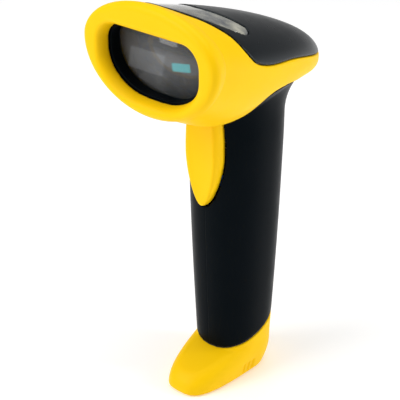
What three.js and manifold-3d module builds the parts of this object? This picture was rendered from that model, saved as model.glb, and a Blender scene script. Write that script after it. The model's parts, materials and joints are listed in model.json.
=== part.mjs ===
// Cordless handheld barcode scanner, gun shape.
// Millimetres, +Z up, nose towards -Y. The origin is on the floor, under the handle axis.
import * as THREE from 'three';
import { mergeVertices } from 'three/addons/utils/BufferGeometryUtils.js';
import Module from 'manifold-3d';

const wasm = await Module();
wasm.setup();

// ---------------------------------------------------------------- driving dimensions
// head
const TOTAL_HEIGHT = 189.6;
const NOSE_REACH = 56;
const TAIL_REACH = 49.8;
const LIP_HALF_WIDTH = 36.6;
const LIP_RISE = 20;
const CENTRE_AT_NOSE = TOTAL_HEIGHT - LIP_RISE;
const LIP_FACE = -NOSE_REACH;
const LIP_DROP = 27.4;
const LIP_DEPTH = 11;
const LIP_ROUND = 3.2;
const HEAD_HALF_WIDTH = 34.3;
const HEAD_RISE = 20;
const HEAD_DROP = 30.5;
const HEAD_NOSE_DROP = 26;
const HEAD_TAIL_DROP = 12.5;
const HEAD_FALL = 26.5;
const WALL = 2.2;
// handle
const HANDLE_TOP_HALF = 19.4;
const HANDLE_BOTTOM_HALF = 15.8;
const HANDLE_BULGE = 0.4;
const HANDLE_OVAL = 1.11;
const UNDERSIDE = CENTRE_AT_NOSE - 31.1;
const HANDLE_TOP = UNDERSIDE + 9;
const TAPER_TOP = UNDERSIDE - 18.5;
const FLARE_HEIGHT = 10;
const FLARE_RISE = 8;
const FLARE_REAR = 36;
const FLARE_HALF_WIDTH = 25.5;
// foot
const TOE_REACH = 38.8;
const HEEL_REACH = 9;
const FOOT_HALF_WIDTH = 13.5;
const FOOT_FRONT_HEIGHT = 15.7;
const FOOT_TILT = 0.36;
const FOOT_FLOOR = 2.6;
// clearances
const SEAM = 0.3;
const FIT = 0.3;
// status lens
const LENS_SINK = 0.5;
const LENS_THICKNESS = 1.5;
// window
const WINDOW_HALF_WIDTH = 26.2;
const WINDOW_TOP = CENTRE_AT_NOSE + 7.4;
const WINDOW_HEIGHT = 28;
const WINDOW_CORNER = 8;
const WINDOW_SWEEP = 22;
const WINDOW_LIFT = 17;
const RECESS_DEPTH = 5.9;
const RECESS_FLARE = 2.2;
const FRAME_DEPTH = 5;
const FRAME_FLANGE = 1.4;
const FRAME_BAND = 0.8;
const GASKET_THICKNESS = 0.5;
const PANE_THICKNESS = 1.5;
// trigger
const TRIGGER_TOP = UNDERSIDE - 5;
const TRIGGER_TIP = TRIGGER_TOP - 42.9;
const TRIGGER_HALF_WIDTH = 9.4;
const TRIGGER_FACE = 24.4;
const TRIGGER_LEAN = -1.5 * Math.PI / 180;
const TRIGGER_ROUND = 1.6;
const TRIGGER_BACK = 1.5;
const TRIGGER_DISH = 0.8;
const TRIGGER_GAP = 0.5;
const TIP_ROOM = 0.5;
const PIVOT_Y = -13.6;
const PIVOT_Z = TRIGGER_TOP - 9;
const PIVOT_RADIUS = 1.25;
const PIVOT_HALF_LENGTH = TRIGGER_HALF_WIDTH + 1.2;
// battery
const CELL_RADIUS = 9.2;
const CELL_LENGTH = 65;
const CELL_Y = 3;
const CELL_BOTTOM = 34;
const CRADLE_WALL = 1.4;

// ---------------------------------------------------------------- solids
const X_AXIS = new THREE.Vector3(1, 0, 0);
const Y_AXIS = new THREE.Vector3(0, 1, 0);
const Z_AXIS = new THREE.Vector3(0, 0, 1);

function signedVolume(position, index) {
  const a = new THREE.Vector3();
  const b = new THREE.Vector3();
  const c = new THREE.Vector3();
  let volume = 0;
  for (let i = 0; i < index.length; i += 3) {
    a.fromBufferAttribute(position, index[i]);
    b.fromBufferAttribute(position, index[i + 1]);
    c.fromBufferAttribute(position, index[i + 2]);
    volume += a.dot(b.cross(c)) / 6;
  }
  return volume;
}

// A closed three.js geometry as a solid that can be joined and cut.
function solid(geometry) {
  const bare = geometry.clone();
  bare.deleteAttribute('normal');
  bare.deleteAttribute('uv');
  const merged = mergeVertices(bare, 1e-4);
  const index = Uint32Array.from(merged.index.array);
  if (signedVolume(merged.attributes.position, index) < 0) {
    for (let i = 0; i < index.length; i += 3) {
      [index[i], index[i + 1]] = [index[i + 1], index[i]];
    }
  }
  const vertProperties = Float32Array.from(merged.attributes.position.array);
  return new wasm.Manifold(new wasm.Mesh({ numProp: 3, vertProperties, triVerts: index }));
}

function geometryOf(body) {
  const mesh = body.getMesh();
  const positions = new Float32Array(mesh.numVert * 3);
  for (let i = 0; i < mesh.numVert; i += 1) {
    for (let k = 0; k < 3; k += 1) {
      positions[i * 3 + k] = mesh.vertProperties[i * mesh.numProp + k];
    }
  }
  const geometry = new THREE.BufferGeometry();
  geometry.setAttribute('position', new THREE.BufferAttribute(positions, 3));
  geometry.setIndex(new THREE.BufferAttribute(Uint32Array.from(mesh.triVerts), 1));
  geometry.computeVertexNormals();
  return geometry;
}

const join = (...bodies) => bodies.reduce((whole, body) => whole.add(body));
const cut = (body, ...tools) => tools.reduce((left, tool) => left.subtract(tool), body);

function box(width, depth, height, x, y, z) {
  return solid(new THREE.BoxGeometry(width, depth, height).translate(x, y, z));
}

// A cylinder along X, Y or Z, centred on a point.
function rod(axis, radius, length, x, y, z, sides = 16) {
  const geometry = new THREE.CylinderGeometry(radius, radius, length, sides);
  const turn = new THREE.Quaternion().setFromUnitVectors(Y_AXIS, axis);
  geometry.applyQuaternion(turn).translate(x, y, z);
  return solid(geometry);
}

// A body made by sweeping sections along a line of stations: the section function gives the
// point at a station, an angle and a share (0 or 1) of the way out from the middle.
function loft(stations, sides, section) {
  const geometry = new THREE.CylinderGeometry(1, 1, 1, sides, stations.length - 1);
  const position = geometry.attributes.position;
  for (let i = 0; i < position.count; i += 1) {
    const level = Math.round((0.5 - position.getY(i)) * (stations.length - 1));
    const share = Math.min(1, Math.round(Math.hypot(position.getX(i), position.getZ(i))));
    const angle = Math.atan2(position.getX(i), position.getZ(i));
    const point = section(stations[level], angle, share);
    position.setXYZ(i, point.x, point.y, point.z);
  }
  return solid(geometry);
}

const power = (value, exponent) => Math.sign(value) * Math.abs(value) ** exponent;
const blend = (from, to, share) => from + (to - from) * share;
const steps = (from, to, count) => (
  Array.from({ length: count + 1 }, (_, i) => blend(from, to, i / count))
);
const clamp = (value, low, high) => Math.min(high, Math.max(low, value));

function smooth(value) {
  const share = clamp(value, 0, 1);
  return share * share * (3 - 2 * share);
}

// An outline in X and Z, extruded forwards from its back face.
function panel(shape, depth, backY, options = {}) {
  const settings = { depth, bevelEnabled: false, curveSegments: 6, ...options };
  const geometry = new THREE.ExtrudeGeometry(shape, settings);
  return geometry.rotateX(Math.PI / 2).translate(0, backY, 0);
}

// The extrusion settings of a rounded edge.
function rounding(depth, width, segments) {
  return { bevelEnabled: true, bevelThickness: depth, bevelSize: width, bevelSegments: segments };
}

// An outline in Y and Z, extruded through the whole width.
function sidePrism(shape, halfWidth) {
  const settings = { depth: 2 * halfWidth, bevelEnabled: false, curveSegments: 10 };
  const geometry = new THREE.ExtrudeGeometry(shape, settings);
  geometry.applyMatrix4(new THREE.Matrix4().makeBasis(Y_AXIS, Z_AXIS, X_AXIS));
  return solid(geometry.translate(-halfWidth, 0, 0));
}

// An outline in X and Y, extruded upwards.
function planPrism(shape, bottom, top) {
  const settings = { depth: top - bottom, bevelEnabled: false, curveSegments: 8 };
  return solid(new THREE.ExtrudeGeometry(shape, settings).translate(0, 0, bottom));
}

function ring(outer, inner) {
  outer.holes.push(inner);
  return outer;
}

// ---------------------------------------------------------------- head form
const headLength = (inset) => NOSE_REACH + TAIL_REACH - inset;

function headSize(y, inset) {
  const t = clamp((y + NOSE_REACH) / headLength(inset), 0, 1);
  const noseDrop = blend(HEAD_NOSE_DROP, HEAD_DROP, smooth(t / 0.25));
  const drop = blend(noseDrop, HEAD_TAIL_DROP, smooth((t - 0.2) / 0.6));
  return {
    centre: CENTRE_AT_NOSE - HEAD_FALL * (y + NOSE_REACH) / headLength(0),
    half: (HEAD_HALF_WIDTH - inset) * Math.sqrt(1 - t ** 2.4) * (1 - 0.14 * t),
    rise: (HEAD_RISE - inset) * Math.sqrt(1 - t ** 3.1),
    drop: (drop - inset) * Math.sqrt(1 - t ** 5),
  };
}

function headLoft(inset, frontY, sides = 32) {
  const end = TAIL_REACH - inset;
  const stations = steps(0, 1, 15).map((s) => blend(frontY, end, 0.9996 * (1 - (1 - s) ** 1.8)));
  return loft(stations, sides, (y, angle, share) => {
    const size = headSize(y, inset);
    const height = Math.cos(angle) > 0 ? size.rise : size.drop;
    const x = size.half * power(Math.sin(angle), 0.88) * share;
    const z = size.centre + height * power(Math.cos(angle), 0.88) * share;
    return new THREE.Vector3(x, y, z);
  });
}

// The flared lip round the window, with a rounded front edge.
function lipLoft() {
  const front = steps(0, 1, 3).map((s) => {
    const turn = s * Math.PI / 2;
    return [LIP_FACE + LIP_ROUND * (1 - Math.sin(turn)), LIP_ROUND * (1 - Math.cos(turn))];
  });
  const back = [[0.55, 0.9], [0.8, 2.4], [1, 5]].map(([s, inset]) => [LIP_FACE + s * LIP_DEPTH, inset]);
  const stations = [...front.reverse(), ...back];
  return loft(stations, 36, ([y, inset], angle, share) => {
    const height = Math.cos(angle) > 0 ? LIP_RISE : LIP_DROP;
    const x = (LIP_HALF_WIDTH - inset) * Math.sin(angle) * share;
    const z = CENTRE_AT_NOSE + (height - inset) * Math.cos(angle) * share;
    return new THREE.Vector3(x, y, z);
  });
}

// ---------------------------------------------------------------- handle form
function handleSize(z, inset) {
  const share = clamp((z - FOOT_FRONT_HEIGHT) / (TAPER_TOP - FOOT_FRONT_HEIGHT), 0, 1);
  const bulge = HANDLE_BULGE * Math.sin(Math.PI * share);
  const half = blend(HANDLE_BOTTOM_HALF, HANDLE_TOP_HALF, share) + bulge;
  return { half: half - inset, reach: half * HANDLE_OVAL - inset };
}

function handleLoft(inset, bottom, top, sides = 28) {
  return loft(steps(bottom, top, 7), sides, (z, angle, share) => {
    const size = handleSize(z, inset);
    const x = size.half * power(Math.sin(angle), 0.89) * share;
    const y = -size.reach * power(Math.cos(angle), 0.89) * share;
    return new THREE.Vector3(x, y, z);
  });
}

// The concave flare at the top of the handle. It ends a little above the lower parting line, so
// it is higher at the sides than at the rear, and flush with the head's surface there.
function flareLoft(inset) {
  const start = UNDERSIDE - FLARE_HEIGHT;
  const full = 1 - Math.sqrt(1 - 0.985 ** 2);
  return loft([...steps(0, 1, 6), 2], 36, (stage, angle, share) => {
    const rearwards = clamp(-Math.cos(angle), 0, 1);
    const along = Math.min(stage, 1);
    const out = (1 - Math.sqrt(1 - (0.985 * along) ** 2)) / full;
    const end = UNDERSIDE + FLARE_RISE * (1 - rearwards ** 2);
    const z = stage > 1 ? HANDLE_TOP : blend(start, end, along);
    const size = handleSize(z, 0);
    const half = blend(size.half, FLARE_HALF_WIDTH, out) - inset;
    const reach = (rearwards > 0 ? blend(size.reach, FLARE_REAR, out) : size.reach) - inset;
    const exponent = rearwards > 0 ? blend(0.89, 1.3, out) : 0.89;
    const x = half * power(Math.sin(angle), exponent) * share;
    const y = -reach * power(Math.cos(angle), exponent) * share;
    return new THREE.Vector3(x, y, z);
  });
}

// ---------------------------------------------------------------- parting lines
const FAR = 60;

// The region above the line between the nose shroud and the top cover.
function coverRegion(gap) {
  const line = new THREE.SplineCurve([
    [5.8, 23.4], [9, 17.9], [15, 14], [21, 8.4], [25.5, 1.4], [31, -4.2],
    [42, -8.4], [64, -12.6], [92, -20.6], [105, -23.2], [126, -25.6],
  ].map(([behind, above]) => (
    new THREE.Vector2(LIP_FACE + behind + gap * 0.8, CENTRE_AT_NOSE + above + gap)
  )));
  const points = line.getPoints(22);
  const over = [TAIL_REACH + 20, LIP_FACE + 11].map((y) => new THREE.Vector2(y, TOTAL_HEIGHT + 40));
  return sidePrism(new THREE.Shape([...points, ...over]), FAR);
}

// The region below the line between the nose shroud and the neck.
function neckRegion(gap) {
  const line = new THREE.SplineCurve([
    [-24.5, -69.6], [-24.5, -41.6], [-21.5, -31.6], [-12, -23.6], [2, -23], [15, -25.8],
    [30, -30], [42, -32.8], [60, -37.6],
  ].map(([y, above]) => new THREE.Vector2(y + gap * 0.8, CENTRE_AT_NOSE + above - gap)));
  const points = line.getPoints(20);
  const under = [TAIL_REACH + 20, -24.5].map((y) => new THREE.Vector2(y, -40));
  return sidePrism(new THREE.Shape([...points, ...under]), FAR);
}

// Height of the tilted joint between the handle and the foot.
const footJoint = (y) => FOOT_FRONT_HEIGHT + FOOT_TILT * (y + HANDLE_BOTTOM_HALF * HANDLE_OVAL);

function footRegion(gap) {
  const corners = [[-60, -30], [-60, footJoint(-60)], [40, footJoint(40)], [40, -30]];
  return sidePrism(new THREE.Shape(corners.map(([y, z]) => new THREE.Vector2(y, z - gap))), FAR);
}

// ---------------------------------------------------------------- window
function windowShape(grow) {
  const half = WINDOW_HALF_WIDTH + grow;
  const top = WINDOW_TOP + grow;
  const bottom = WINDOW_TOP - WINDOW_HEIGHT - grow;
  const corner = WINDOW_CORNER + grow;
  const shape = new THREE.Shape();
  shape.moveTo(half - corner, top);
  shape.lineTo(corner - half, top);
  shape.absarc(corner - half, top - corner, corner, Math.PI / 2, Math.PI, false);
  shape.lineTo(-half, bottom + WINDOW_LIFT);
  const sweep = [bottom + WINDOW_LIFT, WINDOW_SWEEP, WINDOW_LIFT];
  shape.absellipse(WINDOW_SWEEP - half, ...sweep, Math.PI, 1.5 * Math.PI, false, 0);
  shape.lineTo(half - WINDOW_SWEEP, bottom);
  shape.absellipse(half - WINDOW_SWEEP, ...sweep, 1.5 * Math.PI, 2 * Math.PI, false, 0);
  shape.lineTo(half, top - corner);
  shape.absarc(half - corner, top - corner, corner, 0, Math.PI / 2, false);
  return shape;
}

const RECESS_BACK = LIP_FACE + RECESS_DEPTH;
const FRAME_BACK = RECESS_BACK + SEAM + FRAME_DEPTH;
const GASKET_BACK = FRAME_BACK + FIT + GASKET_THICKNESS;
const PANE_BACK = GASKET_BACK + FIT + PANE_THICKNESS;
const CAVITY_FRONT = RECESS_BACK + 2.6;

function recessTool() {
  const bevel = rounding(RECESS_DEPTH, RECESS_FLARE, 2);
  return solid(panel(windowShape(0), 10, RECESS_BACK - RECESS_DEPTH, bevel));
}

function windowFrame() {
  return solid(panel(ring(windowShape(FRAME_FLANGE), windowShape(-FRAME_BAND)), FRAME_DEPTH, FRAME_BACK));
}

function windowGasket() {
  return solid(panel(ring(windowShape(FRAME_FLANGE), windowShape(-0.2)), GASKET_THICKNESS, GASKET_BACK));
}

function windowPane() {
  return solid(panel(windowShape(FRAME_FLANGE), PANE_THICKNESS, PANE_BACK));
}

// ---------------------------------------------------------------- casings
function headShell() {
  const outer = join(headLoft(0, LIP_FACE + 3), lipLoft());
  return cut(outer, headLoft(WALL, CAVITY_FRONT));
}

function noseShroud() {
  const pocket = solid(panel(windowShape(FRAME_FLANGE + FIT), 10, RECESS_BACK + 10));
  const front = cut(headShell(), recessTool(), pocket);
  return cut(front, coverRegion(-SEAM / 2), neckRegion(-SEAM / 2), neckBody(SEAM));
}

function lensOutline(grow) {
  const shape = new THREE.Shape();
  const front = LIP_FACE + 11.4 - grow;
  const rear = LIP_FACE + 37 + grow;
  shape.moveTo(0, front);
  shape.bezierCurveTo(13, front + 1.6, 21 + grow, front + 8.6, 24 + grow, front + 19.6 + grow);
  shape.quadraticCurveTo(24.5 + grow, rear - 1, 20, rear);
  shape.bezierCurveTo(14, rear - 3, 7, rear - 6, 0, rear - 6.6);
  shape.bezierCurveTo(-7, rear - 6, -14, rear - 3, -20, rear);
  shape.quadraticCurveTo(-24.5 - grow, rear - 1, -24 - grow, front + 19.6 + grow);
  shape.bezierCurveTo(-21 - grow, front + 8.6, -13, front + 1.6, 0, front);
  return shape;
}

const lensPrism = (grow) => planPrism(lensOutline(grow), CENTRE_AT_NOSE - 10, TOTAL_HEIGHT + 40);

function topCover() {
  return cut(headShell().intersect(coverRegion(SEAM / 2)), lensPrism(FIT));
}

function statusLens() {
  const front = LIP_FACE + 4;
  const sheet = cut(headLoft(LENS_SINK, front), headLoft(LENS_SINK + LENS_THICKNESS, front));
  return sheet.intersect(lensPrism(0)).intersect(coverRegion(SEAM / 2));
}

// The handle and the belly of the head that is one with it, up to the lower parting line.
const BELLY_INSET = 0.3;

function neckBody(gap) {
  const belly = headLoft(BELLY_INSET - gap, LIP_FACE + 8);
  const grip = handleLoft(-gap, 0, UNDERSIDE);
  return join(belly, grip, flareLoft(-gap)).intersect(neckRegion(SEAM / 2 - gap));
}

function handleShell() {
  const outer = cut(neckBody(0), footRegion(-SEAL_ROOM / 2));
  const cavity = headLoft(WALL + BELLY_INSET, CAVITY_FRONT);
  return cut(outer, handleLoft(WALL, -5, HANDLE_TOP + 2), cavity);
}

// Places in Y and Z of the three screws that pull the handle halves together.
const SHELL_SCREWS = { upper: [13, UNDERSIDE - 12], middle: [13, UNDERSIDE - 32.5], lower: [-9, 24] };
const SCREW_HEAD_RADIUS = 2.3;
const SCREW_HEAD_HEIGHT = 1.6;
const SCREW_RADIUS = 1.25;
const SCREW_LENGTH = 15;
const SCREW_SEAT = 8;
const BOSS_RADIUS = 4;
const EAR_PLACE = 7.5;

function handleHalf(side) {
  const half = box(FAR, 200, 300, side * (FAR + SEAM) / 2, 0, 100);
  const bosses = Object.values(SHELL_SCREWS).map(([y, z]) => rod(X_AXIS, BOSS_RADIUS, 2 * FAR, 0, y, z));
  const earWidth = TRIGGER_HALF_WIDTH + TRIGGER_GAP + 3.8 - EAR_PLACE;
  const earMiddle = side * (EAR_PLACE + earWidth / 2);
  const ears = box(earWidth, 4.8, 6, earMiddle, PIVOT_Y, PIVOT_Z).intersect(neckBody(0));
  const slot = triggerPrism(TRIGGER_GAP);
  const opening = join(slot, slot.translate([0, 0, -TIP_ROOM]));
  const posts = join(...bosses).intersect(cut(neckBody(0), footRegion(-SEAL_ROOM / 2)));
  const walls = cut(join(handleShell(), posts), opening);
  const wells = Object.values(SHELL_SCREWS).map(([y, z]) => join(
    rod(X_AXIS, SCREW_RADIUS + FIT, 2 * (SCREW_LENGTH - SCREW_SEAT + 1), 0, y, z),
    rod(X_AXIS, SCREW_RADIUS + FIT, SCREW_SEAT, -SCREW_SEAT / 2, y, z),
    rod(X_AXIS, SCREW_HEAD_RADIUS + FIT, FAR, -SCREW_SEAT - FAR / 2, y, z),
  ));
  const bore = rod(X_AXIS, PIVOT_RADIUS + FIT, 2 * (PIVOT_HALF_LENGTH + FIT), 0, PIVOT_Y, PIVOT_Z);
  return cut(join(walls, ears).intersect(half), ...wells, bore);
}

// A pan-head screw along +Z with a cross recess; its seat is at the origin.
function screw(headRadius, headHeight, radius, length) {
  const head = rod(Z_AXIS, headRadius, headHeight, 0, 0, -headHeight / 2, 14);
  const shank = rod(Z_AXIS, radius, length + 0.2, 0, 0, length / 2 - 0.1, 10);
  const slot = headRadius * 1.2;
  const cross = join(box(slot, 0.6, 1.4, 0, 0, -headHeight), box(0.6, slot, 1.4, 0, 0, -headHeight));
  return cut(join(head, shank), cross);
}

// ---------------------------------------------------------------- trigger
// The tongue outline in X and Z.
function triggerShape(grow) {
  const half = TRIGGER_HALF_WIDTH + grow;
  const tip = TRIGGER_TIP - grow;
  const top = TRIGGER_TOP + grow;
  const shape = new THREE.Shape();
  shape.moveTo(0, tip);
  shape.bezierCurveTo(3.4 + grow, tip, half - 1.1, tip + 11.4, half, tip + 23.4);
  shape.quadraticCurveTo(half + 0.2, tip + 32, half - 0.6, top);
  shape.lineTo(0.6 - half, top);
  shape.quadraticCurveTo(-half - 0.2, tip + 32, -half, tip + 23.4);
  shape.bezierCurveTo(1.1 - half, tip + 11.4, -3.4 - grow, tip, 0, tip);
  return shape;
}

const triggerPrism = (grow) => solid(panel(triggerShape(grow), 30, -8));

const PLUNGER_Z = PIVOT_Z - 17.5;
const PLUNGER_RADIUS = 1.2;
const PLUNGER_FRONT = -14.9;
const SWITCH_FRONT = -11;
const SWITCH_BACK = -5.3;
const SPRING_Z = PIVOT_Z - 9;
const TRIGGER_BOARD_FRONT = -5;

// A rib rooted in the back of the tongue, which reaches back to a plane.
function triggerRib(width, height, z, backY) {
  const root = -handleSize(z, TRIGGER_BACK).reach - 0.9;
  return box(width, backY - root, height, 0, (backY + root) / 2, z);
}

function trigger() {
  const bevel = rounding(TRIGGER_ROUND, TRIGGER_ROUND, 3);
  const tongue = panel(triggerShape(-TRIGGER_ROUND), 10, TRIGGER_ROUND + 10 - TRIGGER_FACE, bevel);
  tongue.translate(0, TRIGGER_FACE, -PIVOT_Z).rotateX(TRIGGER_LEAN).translate(0, -TRIGGER_FACE, PIVOT_Z);
  const inner = handleLoft(TRIGGER_BACK, TRIGGER_TIP - 14, TRIGGER_TOP + 10);
  const dish = rod(Z_AXIS, 40, 90, 0, TRIGGER_DISH - TRIGGER_FACE - 40, PIVOT_Z - 19, 64);
  const plate = cut(solid(tongue), inner, dish, headLoft(-0.5, LIP_FACE + 4));
  const web = triggerRib(12, 4.4, PIVOT_Z, PIVOT_Y - 1);
  const sleeve = rod(X_AXIS, 2.5, 13, 0, PIVOT_Y, PIVOT_Z);
  const rib = triggerRib(3, 5, PLUNGER_Z, PLUNGER_FRONT - FIT);
  const bore = rod(X_AXIS, PIVOT_RADIUS + FIT, 30, 0, PIVOT_Y, PIVOT_Z);
  return cut(join(plate, web, sleeve, rib), bore);
}

// A coil of round wire along an axis, as one closed sweep.
class Helix extends THREE.Curve {
  constructor(startRadius, endRadius, length, turns) {
    super();
    Object.assign(this, { startRadius, endRadius, length, turns });
  }

  getPoint(t) {
    const angle = 2 * Math.PI * this.turns * t;
    const radius = blend(this.startRadius, this.endRadius, t);
    return new THREE.Vector3(radius * Math.cos(angle), radius * Math.sin(angle), this.length * t);
  }
}

function wireSweep(path, radius, sides, count) {
  const section = new THREE.Shape(steps(0, 1, sides).slice(0, -1).map((s) => {
    const angle = 2 * Math.PI * s;
    return new THREE.Vector2(radius * Math.cos(angle), radius * Math.sin(angle));
  }));
  return solid(new THREE.ExtrudeGeometry(section, { steps: count, extrudePath: path, bevelEnabled: false }));
}

function triggerSpring() {
  const front = -handleSize(SPRING_Z, TRIGGER_BACK).reach + 0.9;
  const length = TRIGGER_BOARD_FRONT - 0.7 - front;
  const coil = wireSweep(new Helix(2.2, 2.2, length, 5), 0.35, 5, 50);
  return coil.rotate([-90, 0, 0]).translate([0, front, SPRING_Z]);
}

function triggerSwitch() {
  const depth = SWITCH_BACK - SWITCH_FRONT;
  const body = box(7, depth, 7, 0, (SWITCH_BACK + SWITCH_FRONT) / 2, PLUNGER_Z);
  return cut(body, rod(Y_AXIS, PLUNGER_RADIUS + FIT, 7.4, 0, SWITCH_FRONT, PLUNGER_Z));
}

const switchPlunger = () => rod(Y_AXIS, PLUNGER_RADIUS, 5.6, 0, PLUNGER_FRONT + 2.8, PLUNGER_Z);

// ---------------------------------------------------------------- foot
function footSize(z, inset) {
  const handle = handleSize(Math.max(z, FOOT_FRONT_HEIGHT), inset);
  const toe = clamp((z + inset) / FOOT_FRONT_HEIGHT, 0, 1);
  const heel = 1 - clamp(z / 12, 0, 1);
  const side = clamp(z / 13, 0, 1);
  const edge = 0.8 * (1 - clamp(z / 0.8, 0, 1));
  return {
    front: blend(handle.reach, TOE_REACH - inset, (1 - toe ** 2.6) ** 0.9) - edge,
    rear: blend(HEEL_REACH - inset, handle.reach, Math.sqrt(1 - heel * heel)) - edge,
    half: blend(FOOT_HALF_WIDTH - inset, handle.half, Math.sin(side * Math.PI / 2)) - edge,
    corner: blend(0.58, 0.89, toe),
  };
}

function footLoft(inset, bottom, top) {
  const stations = [bottom, bottom + 0.8, ...steps(bottom + 2.6, FOOT_FRONT_HEIGHT, 7), top];
  return loft(stations, 28, (z, angle, share) => {
    const size = footSize(z, inset);
    const front = Math.cos(angle) > 0;
    const corner = front ? size.corner : 0.89;
    const x = size.half * power(Math.sin(angle), corner) * share;
    const y = -(front ? size.front : size.rear) * power(Math.cos(angle), corner) * share;
    return new THREE.Vector3(x, y, z);
  });
}

const SEAL_THICKNESS = 0.4;
const SEAL_ROOM = SEAL_THICKNESS + 0.6;
const CONTACT_Y = -24;
const CONTACT_SPACING = 7;
const CONTACT_RADIUS = 2;
const BLOCK_WIDTH = 16;
const BLOCK_DEPTH = 8;
const BASE_SCREW_Y = 6;
const BASE_SCREW_SEAT = 9;
const CRADLE_FLOOR = 28.6;
const CRADLE_FLOOR_TOP = 30.2;
const CRADLE_BOSS_BOTTOM = 26;
const NOTCH_RADIUS = 0.9;
const NOTCH_BOTTOM = 1.4;
const NOTCH_TOP = 7.4;
const NOTCH_PLACES = [-9, -6, -3];

// One of the short grooves that lean with the foot's side wall.
function footNotch(side, y) {
  const low = footSize(NOTCH_BOTTOM, 0).half;
  const high = footSize(NOTCH_TOP, 0).half;
  const height = NOTCH_TOP - NOTCH_BOTTOM;
  const lean = Math.atan2(high - low, height) * 180 / Math.PI;
  const groove = rod(Z_AXIS, NOTCH_RADIUS, height, 0, 0, 0, 8).rotate([0, side * lean, 0]);
  return groove.translate([side * (low + high) / 2, y, (NOTCH_TOP + NOTCH_BOTTOM) / 2]);
}

function baseCap() {
  const outer = footLoft(0, 0, 34).intersect(footRegion(SEAL_ROOM / 2));
  const shell = cut(outer, footLoft(WALL, FOOT_FLOOR, 36));
  const bossTop = CRADLE_BOSS_BOTTOM - 2;
  const boss = rod(Z_AXIS, BOSS_RADIUS, bossTop - 1, 0, BASE_SCREW_Y, (bossTop + 1) / 2);
  const notches = [-1, 1].flatMap((side) => NOTCH_PLACES.map((y) => footNotch(side, y)));
  return cut(
    join(shell, boss),
    rod(Z_AXIS, SCREW_HEAD_RADIUS + FIT, 2 * BASE_SCREW_SEAT, 0, BASE_SCREW_Y, 0),
    rod(Z_AXIS, SCREW_RADIUS + FIT, 80, 0, BASE_SCREW_Y, 20),
    box(BLOCK_WIDTH + 2 * FIT, BLOCK_DEPTH + 2 * FIT, 8, 0, CONTACT_Y, 0),
    ...notches,
  );
}

function baseSeal() {
  const region = cut(footRegion(-SEAL_THICKNESS / 2), footRegion(SEAL_THICKNESS / 2));
  return cut(handleLoft(0.5, 5, 40).intersect(region), handleLoft(WALL - 0.2, 4, 41));
}

function contactBlock() {
  const holes = [-1, 1].map((side) => (
    rod(Z_AXIS, CONTACT_RADIUS + FIT, 20, side * CONTACT_SPACING / 2, CONTACT_Y, 0)
  ));
  return cut(box(BLOCK_WIDTH, BLOCK_DEPTH, 3.4, 0, CONTACT_Y, 2), ...holes);
}

const chargeContact = (side) => (
  rod(Z_AXIS, CONTACT_RADIUS, 4.8, side * CONTACT_SPACING / 2, CONTACT_Y, 2.7)
);

// ---------------------------------------------------------------- battery
const CELL_TOP = CELL_BOTTOM + CELL_LENGTH;

function batteryCell() {
  const r = CELL_RADIUS;
  const top = CELL_LENGTH - 1;
  const profile = [
    [0, 0], [r - 0.5, 0], [r, 0.5], [r, top - 2.4], [r - 0.5, top - 2], [r - 0.5, top - 1.2],
    [r, top - 0.8], [r - 0.8, top], [3, top], [3, CELL_LENGTH], [0, CELL_LENGTH],
  ].map(([x, y]) => new THREE.Vector2(x, y));
  const geometry = new THREE.LatheGeometry(profile, 22).rotateX(Math.PI / 2);
  return solid(geometry.translate(0, CELL_Y, CELL_BOTTOM));
}

function batteryCradle() {
  const inside = CELL_RADIUS + FIT;
  const outside = inside + CRADLE_WALL;
  const plate = CELL_TOP + 1;
  const height = plate + CRADLE_WALL - CRADLE_FLOOR;
  const middle = CRADLE_FLOOR + height / 2;
  const hollow = plate - CRADLE_FLOOR_TOP;
  const hollowMiddle = (plate + CRADLE_FLOOR_TOP) / 2;
  const tube = cut(
    rod(Z_AXIS, outside, height, 0, CELL_Y, middle, 24),
    rod(Z_AXIS, inside, hollow, 0, CELL_Y, hollowMiddle, 24),
    box(2 * outside + 8, 20, hollow, 0, CELL_Y - 13, hollowMiddle),
  );
  const floor = handleLoft(WALL + FIT, CRADLE_FLOOR, CRADLE_FLOOR_TOP);
  const bossHeight = CRADLE_FLOOR_TOP - CRADLE_BOSS_BOTTOM;
  const boss = rod(Z_AXIS, 3.2, bossHeight, 0, BASE_SCREW_Y, CRADLE_BOSS_BOTTOM + bossHeight / 2);
  const screwHole = rod(Z_AXIS, SCREW_RADIUS + FIT, 8, 0, BASE_SCREW_Y, CRADLE_BOSS_BOTTOM);
  const tabSlot = box(5, 1.4, 8, 0, CELL_Y + 3.8, plate);
  return cut(join(tube, floor, boss), screwHole, tabSlot);
}

function batteryContact() {
  const disc = rod(Z_AXIS, 4, 0.4, 0, CELL_Y, CELL_TOP + 0.5, 20);
  return join(disc, box(3.6, 0.5, 7, 0, CELL_Y + 3.8, CELL_TOP + 3.8));
}

const batterySpring = () => wireSweep(new Helix(5, 2.6, 2.2, 2.5), 0.4, 5, 30)
  .translate([0, CELL_Y, CRADLE_FLOOR_TOP + 0.8]);

function wireBetween(points, radius) {
  const path = new THREE.CatmullRomCurve3(points.map((p) => new THREE.Vector3(...p)));
  return wireSweep(path, radius, 6, 18);
}

// ---------------------------------------------------------------- main board, in its own tilted frame
const BOARD_LENGTH = 60;
const BOARD_HALF_WIDTH = 16;
const BOARD_REAR_HALF = 12;
const BOARD_THICKNESS = 1.6;
const BOARD_CENTRE = [0, LIP_FACE + 50, CENTRE_AT_NOSE - 5.8];
const BOARD_TILT = Math.atan2(HEAD_FALL, NOSE_REACH + TAIL_REACH);
const BOARD_SCREWS = [[-11.5, 8], [11.5, 8]];

const boardFrame = new THREE.Group();
boardFrame.position.set(...BOARD_CENTRE);
boardFrame.rotation.x = -BOARD_TILT;
boardFrame.updateMatrixWorld(true);
const fromBoard = (x, y, z) => boardFrame.localToWorld(new THREE.Vector3(x, y, z)).toArray();

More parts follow.
